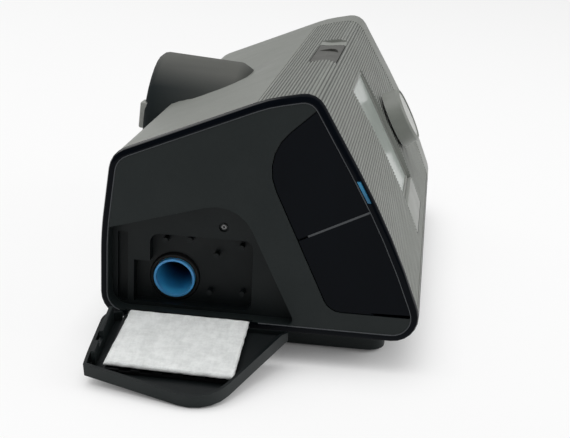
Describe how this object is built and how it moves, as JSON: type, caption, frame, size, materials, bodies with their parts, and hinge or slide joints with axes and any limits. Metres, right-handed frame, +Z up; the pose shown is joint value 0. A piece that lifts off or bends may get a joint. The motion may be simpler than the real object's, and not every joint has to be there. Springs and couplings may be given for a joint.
{
  "type": "cpap machine",
  "caption": "Bedside breathing machine with a heated water tub at one end, a dial, a display and keys on the sloping front, an air outlet at the back and a filter door hanging open.",
  "frame": {"origin": "middle of the plinth, on the underside of the middle rubber foot, which is the table the machine stands on", "axes": "+X along the length towards the water tub, -Y towards the user and the display, +Z up"},
  "size_m": [0.3069, 0.1448, 0.1165],
  "materials": {
    "grey_shell": "warm mid grey, satin",
    "charcoal_plastic": "charcoal, satin",
    "black_plastic": "black, satin",
    "black_gloss": "black, high gloss",
    "turret_grey": "dark grey, satin",
    "pale_grey_plastic": "pale grey, satin",
    "blue_plastic": "blue, satin",
    "blue_light": "clear blue light guide",
    "display_glass": "pale grey-green display pane, clear gloss",
    "silver_paint": "silver paint",
    "steel": "plain steel",
    "black_steel": "blackened steel",
    "aluminium": "plain",
    "rubber": "black, matt",
    "silicone": "translucent grey silicone",
    "foam": "open-cell black foam",
    "filter_felt": "off-white non-woven felt",
    "board_green": "green circuit board",
    "tub_smoke": "smoky clear",
    "card_blue": "dark blue, satin"
  },
  "bodies": {
    "machine": {"base_chassis": "charcoal_plastic", "rubber_foot_left": "rubber", "rubber_foot_middle": "rubber", "rubber_foot_right": "rubber", "case_screw_left": "steel", "case_screw_right": "steel", "rear_housing": "charcoal_plastic", "top_cover": "grey_shell", "outlet_turret": "turret_grey", "tube_heater_contact": "pale_grey_plastic", "outlet_connector": "pale_grey_plastic", "power_inlet": "black_plastic", "front_fascia": "grey_shell", "end_trim": "black_gloss", "status_light": "blue_light", "left_end_panel": "charcoal_plastic", "panel_screw": "black_steel", "door_hinge_pin_0": "steel", "door_hinge_pin_1": "steel", "interface_plate": "black_plastic", "sd_socket": "steel", "adapter_port": "steel", "intake_tube": "blue_plastic", "intake_seal": "rubber", "muffler_foam": "foam", "main_board": "board_green", "display_bezel": "pale_grey_plastic", "display_lens": "display_glass", "display_module": "black_plastic", "home_switch": "black_plastic", "start_switch": "board_green", "dial_encoder": "black_plastic", "volute_lower": "black_plastic", "volute_upper": "black_plastic", "blower_motor": "steel", "blower_mount": "silicone", "flow_duct": "black_plastic", "outlet_elbow": "black_plastic", "tub_bay": "black_plastic", "heater_plate": "aluminium"},
    "filter_door": {"filter_door": "charcoal_plastic", "filter_frame": "black_plastic", "air_filter": "filter_felt"},
    "sd_cover": {"sd_cover": "black_gloss"},
    "adapter_cover": {"adapter_cover": "black_gloss"},
    "sd_card": {"sd_card": "card_blue"},
    "home_button": {"home_button": "pale_grey_plastic"},
    "start_button": {"start_button": "grey_shell"},
    "dial_plunger": {"dial_plunger": "steel"},
    "dial_knob": {"dial_knob": "grey_shell", "dial_cap": "silver_paint"},
    "impeller": {"impeller": "pale_grey_plastic", "motor_shaft": "steel"},
    "water_tub": {"tub_base": "tub_smoke", "tub_base_plate": "aluminium", "tub_lid": "tub_smoke", "tub_seal": "silicone", "tub_end_cover": "grey_shell", "tub_latch": "black_plastic"}
  },
  "joints": [
    {"name": "filter_door_hinge", "type": "hinge", "parent": "machine", "child": "filter_door", "pos_m": [-0.128, 0.027, 0.0146], "axis": [0, 1, 0], "range_deg": [0, 106.7]},
    {"name": "sd_cover_hinge", "type": "hinge", "parent": "machine", "child": "sd_cover", "pos_m": [-0.1272, -0.0336, 0.0256], "axis": [0, -0.4348, -0.9005], "range_deg": [0, 95]},
    {"name": "adapter_cover_pull", "type": "slide", "parent": "machine", "child": "adapter_cover", "axis": [-1, 0, 0], "range_m": [0, 0.01]},
    {"name": "sd_card_push", "type": "slide", "parent": "machine", "child": "sd_card", "axis": [1, 0, 0], "range_m": [0, 0.001], "stiffness_N_per_m": 600},
    {"name": "home_button_press", "type": "slide", "parent": "machine", "child": "home_button", "axis": [0, 0.8865, -0.4628], "range_m": [0, 0.0008], "stiffness_N_per_m": 900},
    {"name": "start_button_press", "type": "slide", "parent": "machine", "child": "start_button", "axis": [0, 0, -1], "range_m": [0, 0.0012], "stiffness_N_per_m": 900},
    {"name": "dial_press", "type": "slide", "parent": "machine", "child": "dial_plunger", "axis": [0, 0.8865, -0.4628], "range_m": [0, 0.0006], "stiffness_N_per_m": 1500},
    {"name": "dial_turn", "type": "hinge", "parent": "dial_plunger", "child": "dial_knob", "pos_m": [0.0285, -0.04932, 0.0745], "axis": [0, -0.8865, 0.4628], "continuous": true},
    {"name": "impeller_spin", "type": "hinge", "parent": "machine", "child": "impeller", "pos_m": [-0.047, 0.022, 0.034], "axis": [0, 0, 1], "continuous": true},
    {"name": "water_tub_slide", "type": "slide", "parent": "machine", "child": "water_tub", "axis": [1, 0, 0], "range_m": [0, 0.094]}
  ]
}
